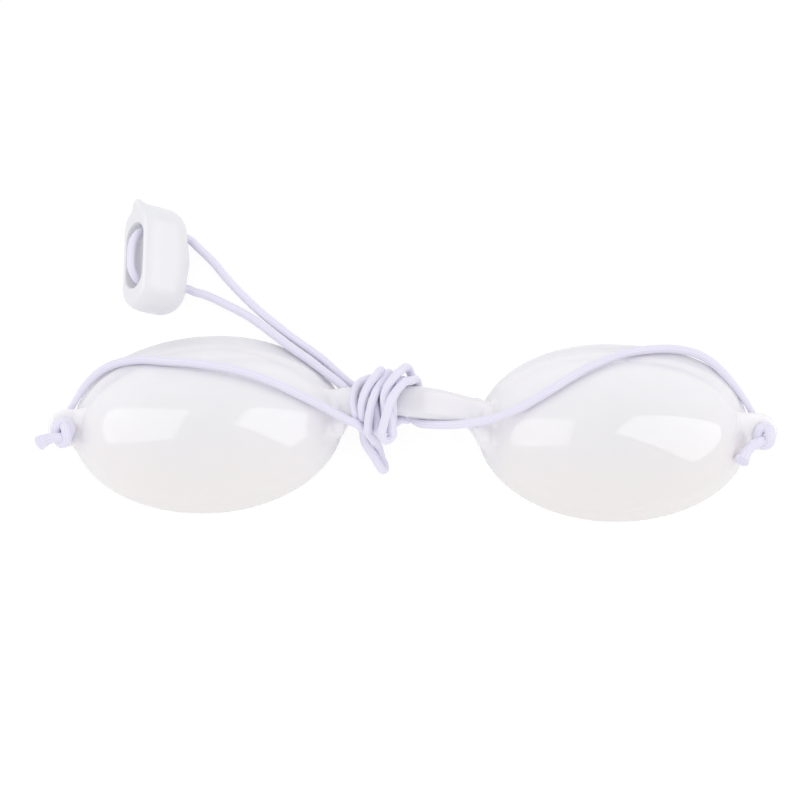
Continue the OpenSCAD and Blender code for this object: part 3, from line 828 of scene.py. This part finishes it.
def baked(piece):
    """Turns a piece's modifiers into a plain mesh."""
    evaluated = piece.evaluated_get(bpy.context.evaluated_depsgraph_get())
    mesh = bpy.data.meshes.new_from_object(evaluated)
    piece.modifiers.clear()
    piece.data = mesh
    mesh.name = piece.name
    return piece


def cord_piece(name, line, swell, cord, finishes):
    """A round cord swept along a line by geometry nodes, swollen or drawn thin at each point."""
    mesh = bpy.data.meshes.new(name)
    steps = [(i, i + 1) for i in range(len(line) - 1)]
    mesh.from_pydata(line.tolist(), steps, [])
    mesh.attributes.new("swell", "FLOAT", "POINT").data.foreach_set("value", swell)
    piece = bpy.data.objects.new(name, mesh)
    bpy.context.scene.collection.objects.link(piece)
    tree = bpy.data.node_groups.get("cord_along_line") or cord_tree()
    sweep = piece.modifiers.new("sweep", "NODES")
    sweep.node_group = tree
    material = made_material(braided_elastic, finishes, cord)
    given = {"Diameter": cord.diameter, "Sides": cord.sides, "Material": material}
    for item in tree.interface.items_tree:
        if item.name in given:
            sweep[item.identifier] = given[item.name]
    return baked(piece)


def knotted(line, knot_length, from_start):
    """How the cord swells in its knot, flares at its cut end and is drawn thin near the lug."""
    swell, flare, thinning = 0.14, 0.6, 0.25
    passing, flare_length, thin_end, thin_fade = 3 * MM, 3.2 * MM, 20 * MM, 9 * MM
    run = runs(line)
    if not from_start:
        run = run[-1] - run
    free = run - knot_length
    loose = swell * np.clip(-free / passing, 0, 1)
    frayed = flare * np.clip(1 - run / flare_length, 0, 1) ** 1.2
    thin = np.clip(free / passing, 0, 1) * np.clip((thin_end - free) / thin_fade, 0, 1)
    return 1 + loose + frayed - thinning * thin


class EyeShieldPiece:
    """What the operators share."""

    bl_options = {"REGISTER", "UNDO"}

    def sizes(self, context):
        scene = context.scene
        return scene.shield_sizes, scene.cord_sizes, scene.lock_sizes, scene.shield_finishes


class EYESHIELD_OT_camera(EyeShieldPiece, bpy.types.Operator):
    """Sets the camera above the shield, a little to its cheek side"""

    bl_idname = "eyeshield.camera"
    bl_label = "Camera"

    elevation = math.radians(76)
    distance = 415.6 * MM
    target = (-2.75 * MM, 5.2 * MM, 5 * MM)

    def execute(self, context):
        camera = bpy.data.objects.new("camera", bpy.data.cameras.new("camera"))
        camera.data.lens = 85
        camera.data.sensor_width = 36
        camera.data.clip_start = 0.01
        camera.data.clip_end = 20
        x, y, z = self.target
        back, up = math.cos(self.elevation), math.sin(self.elevation)
        camera.location = (x, y - self.distance * back, z + self.distance * up)
        camera.rotation_euler = (math.pi / 2 - self.elevation, 0, 0)
        context.scene.collection.objects.link(camera)
        context.scene.camera = camera
        return {"FINISHED"}


class EYESHIELD_OT_left_cord(EyeShieldPiece, bpy.types.Operator):
    """Makes the left knot, the cord over the left cup, its tucked fold and the outer turns"""

    bl_idname = "eyeshield.left_cord"
    bl_label = "Left cord and outer turns"

    def execute(self, context):
        shield, cord, _, finishes = self.sizes(context)
        outer, _ = windings(shield)
        knot = knot_path(LEFT_ROUTE[0], LEFT_TAIL, LEFT_KNOT_SIZE)
        free = in_metres([*LEFT_ROUTE[1:], *FOLD_ROUTE])
        line = smooth_line(np.concatenate([knot, free, outer]), cord.ring_step)
        swell = knotted(line, run_length(smooth_line(knot, cord.ring_step)), True)
        piece = cord_piece("left_cord", line, swell, cord, finishes)
        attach(piece, "left_side")
        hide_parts("left_knot", "left_cord_stretch", "outer_winding")
        return {"FINISHED"}


class EYESHIELD_OT_lock_cord(EyeShieldPiece, bpy.types.Operator):
    """Makes the loop of cord from the outer turns through the lock and back"""

    bl_idname = "eyeshield.lock_cord"
    bl_label = "Cord loop through the lock"

    def execute(self, context):
        shield, cord, lock, finishes = self.sizes(context)
        outer, inner = windings(shield)
        out, back = in_metres(LOCK_ROUTE), in_metres(BACK_ROUTE)
        points = np.concatenate([outer[-1:], out, lock_fold(lock), back, inner[:1]])
        line = smooth_line(points, cord.ring_step)
        piece = cord_piece("lock_cord", line, np.ones(len(line)), cord, finishes)
        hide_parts("lock_cord_loop")
        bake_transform(piece)
        return {"FINISHED"}


class EYESHIELD_OT_inner_turns(EyeShieldPiece, bpy.types.Operator):
    """Makes the inner turns of cord, which lie on the bridge itself"""

    bl_idname = "eyeshield.inner_turns"
    bl_label = "Inner turns"

    def execute(self, context):
        shield, cord, _, finishes = self.sizes(context)
        _, inner = windings(shield)
        line = smooth_line(inner, cord.ring_step)
        piece = cord_piece("inner_turns", line, np.ones(len(line)), cord, finishes)
        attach(piece, "left_side")
        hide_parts("inner_winding")
        return {"FINISHED"}


class EYESHIELD_OT_right_cord(EyeShieldPiece, bpy.types.Operator):
    """Makes the cord from the inner turns over the right cup to the right knot"""

    bl_idname = "eyeshield.right_cord"
    bl_label = "Right cord"

    def execute(self, context):
        shield, cord, _, finishes = self.sizes(context)
        _, inner = windings(shield)
        knot = knot_path(RIGHT_ROUTE[-1], RIGHT_TAIL, RIGHT_KNOT_SIZE)[::-1]
        points = np.concatenate([inner[-1:], in_metres(RIGHT_ROUTE)[:-1], knot])
        line = smooth_line(points, cord.ring_step)
        swell = knotted(line, run_length(smooth_line(knot, cord.ring_step)), False)
        piece = cord_piece("right_cord", line, swell, cord, finishes)
        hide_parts("right_cord_stretch", "right_knot")
        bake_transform(piece)
        return {"FINISHED"}


class EYESHIELD_OT_moulding(EyeShieldPiece, bpy.types.Operator):
    """Makes the one-piece moulding: both cups, their lugs and the bridge"""

    bl_idname = "eyeshield.moulding"
    bl_label = "Shield moulding"

    def execute(self, context):
        shield, _, _, finishes = self.sizes(context)
        margin = 1.2 * MM
        coarser = 1
        low, left_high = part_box("left_eyecup")
        right_low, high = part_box("right_eyecup")
        base, top = min(low.y, right_low.y), max(left_high.y, high.y)
        piece = field_piece(
            "shield_moulding", moulding_field(shield),
            (low.x - margin, base - margin, -margin),
            (high.x + margin, top + margin, high.z + margin),
            shield.mesh_step * coarser, made_material(moulded_polythene, finishes),
        )
        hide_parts("left_eyecup", "right_eyecup", "nose_bridge", "bridge_flexure")
        low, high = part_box("bridge_flexure")
        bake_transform(piece)
        return {"FINISHED"}


class EYESHIELD_OT_cord_lock(EyeShieldPiece, bpy.types.Operator):
    """Makes the cord lock, with its two holes, flat back, pocket and lip"""

    bl_idname = "eyeshield.cord_lock"
    bl_label = "Cord lock"

    front_swell = 0.9 * MM
    pocket_past = 0.3 * MM
    lip_tip, lip_foot = (0.6 * MM, 0.4 * MM), (3.4 * MM, 4 * MM)
    lip_r, lip_spread = 1.4 * MM, 1.6 * MM
    lip_fillet, edge_round, pocket_round, hole_round = 1.4 * MM, 0.5 * MM, 0.6 * MM, 0.4 * MM

    def field(self, lock):
        """Field of the lock. Its own axes run from its flat back along the holes, along its length
        to its lip, and up."""
        r = lock.radius
        end = lock.length / 2 - r
        front = lock.depth - r
        back, side = r - lock.cut, front - self.front_swell
        corners = np.array([(front, 0), (side, end), (back, end), (back, -end), (side, -end)])
        pocket_half = lock.hole_gap / 2 + lock.hole_r + self.pocket_past - lock.pocket_h / 2
        tip, foot = (
            np.array([a, lock.length / 2 - b, 0]) for a, b in (self.lip_tip, self.lip_foot)
        )

        def plan(a, b):
            """Distance from the five-sided plan, 0 inside it."""
            away = np.full(a.shape, np.inf)
            inside = np.ones(a.shape, bool)
            for start, stop in zip(corners, np.roll(corners, -1, axis=0)):
                way = stop - start
                da, db = a - start[0], b - start[1]
                share = np.clip((da * way[0] + db * way[1]) / (way @ way), 0, 1)
                away = np.minimum(away, np.hypot(da - share * way[0], db - share * way[1]))
                inside &= way[0] * db - way[1] * da > 0
            return np.where(inside, 0, away)

        def lip(p):
            way = foot - tip
            share = np.clip(((p - tip) @ way) / (way @ way), 0, 1)
            thick = self.lip_r + share * self.lip_spread
            return np.linalg.norm(p - tip - share[..., None] * way, axis=-1) - thick

        def field(p):
            a, b, c = p[..., 0], p[..., 1], p[..., 2]
            body = np.hypot(plan(a, b), c) - r
            body = smooth_union(body, lip(p), self.lip_fillet)
            body = smooth_cut(body, -a, self.edge_round)
            stadium = np.hypot(np.maximum(np.abs(b) - pocket_half, 0), c) - lock.pocket_h / 2
            pocket = smooth_cut(stadium, a - lock.pocket_d, self.pocket_round)
            body = smooth_cut(body, -pocket, self.edge_round)
            climb = lock.hole_up * a / lock.depth
            holes = np.hypot(np.abs(b - climb) - lock.hole_gap / 2, c) - lock.hole_r
            return smooth_cut(body, -holes, self.hole_round)

        return field

    def execute(self, context):
        _, _, lock, finishes = self.sizes(context)
        margin, lip_room = 1 * MM, 2.5 * MM
        piece = field_piece(
            "cord_lock_body", self.field(lock),
            (-margin, -lock.length / 2 - margin, -lock.radius - margin),
            (lock.depth + margin, lock.length / 2 + lip_room, lock.radius + margin),
            lock.mesh_step, made_material(satin_acetal, finishes), lambda p: lock_place(lock, p),
        )
        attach(piece, "lock")
        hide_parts("cord_lock")
        return {"FINISHED"}


# The glowing panels: how strongly each glows, and its corners in metres
SOFTBOXES = [
    ("right_softbox", 2.9, [
        (0.07, 0.02, 0.46), (0.26, 0.41, 0.6), (0.75, 0.33, 0.02), (0.8, 0.17, 0.07),
        (0.66, -0.39, 0.3),
    ]),
    ("left_softbox", 2.5, [
        (-0.22, 0.32, 0.62), (-0.3, -0.2, 0.64), (-0.74, -0.1, 0.16), (-0.64, 0.4, 0.02),
    ]),
]


class EYESHIELD_OT_stage(EyeShieldPiece, bpy.types.Operator):
    """Makes the white floor, the soft lamps and the plain world"""

    bl_idname = "eyeshield.stage"
    bl_label = "Floor and lights"

    def softbox(self, name, glow, corners):
        """A glowing panel between its corners, seen only as a highlight."""
        material = made_material(lamp_cloth, glow, name=name)
        panel = mesh_piece(name, np.array(corners), np.array([range(len(corners))]), material)
        panel.visible_camera = False
        panel.visible_diffuse = False

    def execute(self, context):
        finishes = self.sizes(context)[3]
        half = 3.0  # Half the floor's side, in metres
        corners = [(-half, -half, 0), (half, -half, 0), (half, half, 0), (-half, half, 0)]
        board = made_material(white_board, finishes)
        floor = mesh_piece("floor", np.array(corners), np.array([range(4)]), board)
        for name, glow, corners in SOFTBOXES:
            self.softbox(name, glow, corners)
        world = bpy.data.worlds.new("plain_room")
        context.scene.world = world
        world.use_nodes = True
        tree = world.node_tree
        tree.nodes.clear()
        # The room lights the shield a touch more strongly than the white that is seen behind it
        room = node(tree, "ShaderNodeBackground", {"Color": WHITE, "Strength": 1.03})
        white = node(tree, "ShaderNodeBackground", {"Color": WHITE, "Strength": 1.0})
        mixed = node(tree, "ShaderNodeMixShader", {0: seen_directly(tree), 1: room, 2: white})
        node(tree, "ShaderNodeOutputWorld", {"Surface": mixed})
        context.scene.view_settings.view_transform = "Standard"
        return {"FINISHED"}


OPERATORS = (
    EYESHIELD_OT_camera,
    EYESHIELD_OT_left_cord,
    EYESHIELD_OT_lock_cord,
    EYESHIELD_OT_inner_turns,
    EYESHIELD_OT_right_cord,
    EYESHIELD_OT_moulding,
    EYESHIELD_OT_cord_lock,
    EYESHIELD_OT_stage,
)


class EYESHIELD_PT_sidebar(bpy.types.Panel):
    """Sidebar panel with the shield's sizes, colours and pieces."""

    bl_idname = "EYESHIELD_PT_sidebar"
    bl_label = "Eye shield"
    bl_space_type = "VIEW_3D"
    bl_region_type = "UI"
    bl_category = "Eye shield"

    def draw(self, context):
        for operator in OPERATORS:
            self.layout.operator(operator.bl_idname)
        for name, group in GROUPS.items():
            box = self.layout.box()
            for size_name in group.__annotations__:
                box.prop(getattr(context.scene, name), size_name)


GROUPS = {
    "shield_sizes": ShieldSizes,
    "cord_sizes": CordSizes,
    "lock_sizes": LockSizes,
    "shield_finishes": Finishes,
}
CLASSES = (*GROUPS.values(), *OPERATORS, EYESHIELD_PT_sidebar)


def register():
    for made in CLASSES:
        bpy.utils.register_class(made)
    for name, group in GROUPS.items():
        setattr(bpy.types.Scene, name, PointerProperty(type=group))


def unregister():
    for name in GROUPS:
        delattr(bpy.types.Scene, name)
    for made in reversed(CLASSES):
        bpy.utils.unregister_class(made)


def main():
    register()
    for operator in OPERATORS:
        getattr(bpy.ops.eyeshield, operator.bl_idname.split(".")[1])()


if __name__ == "__main__":
    main()
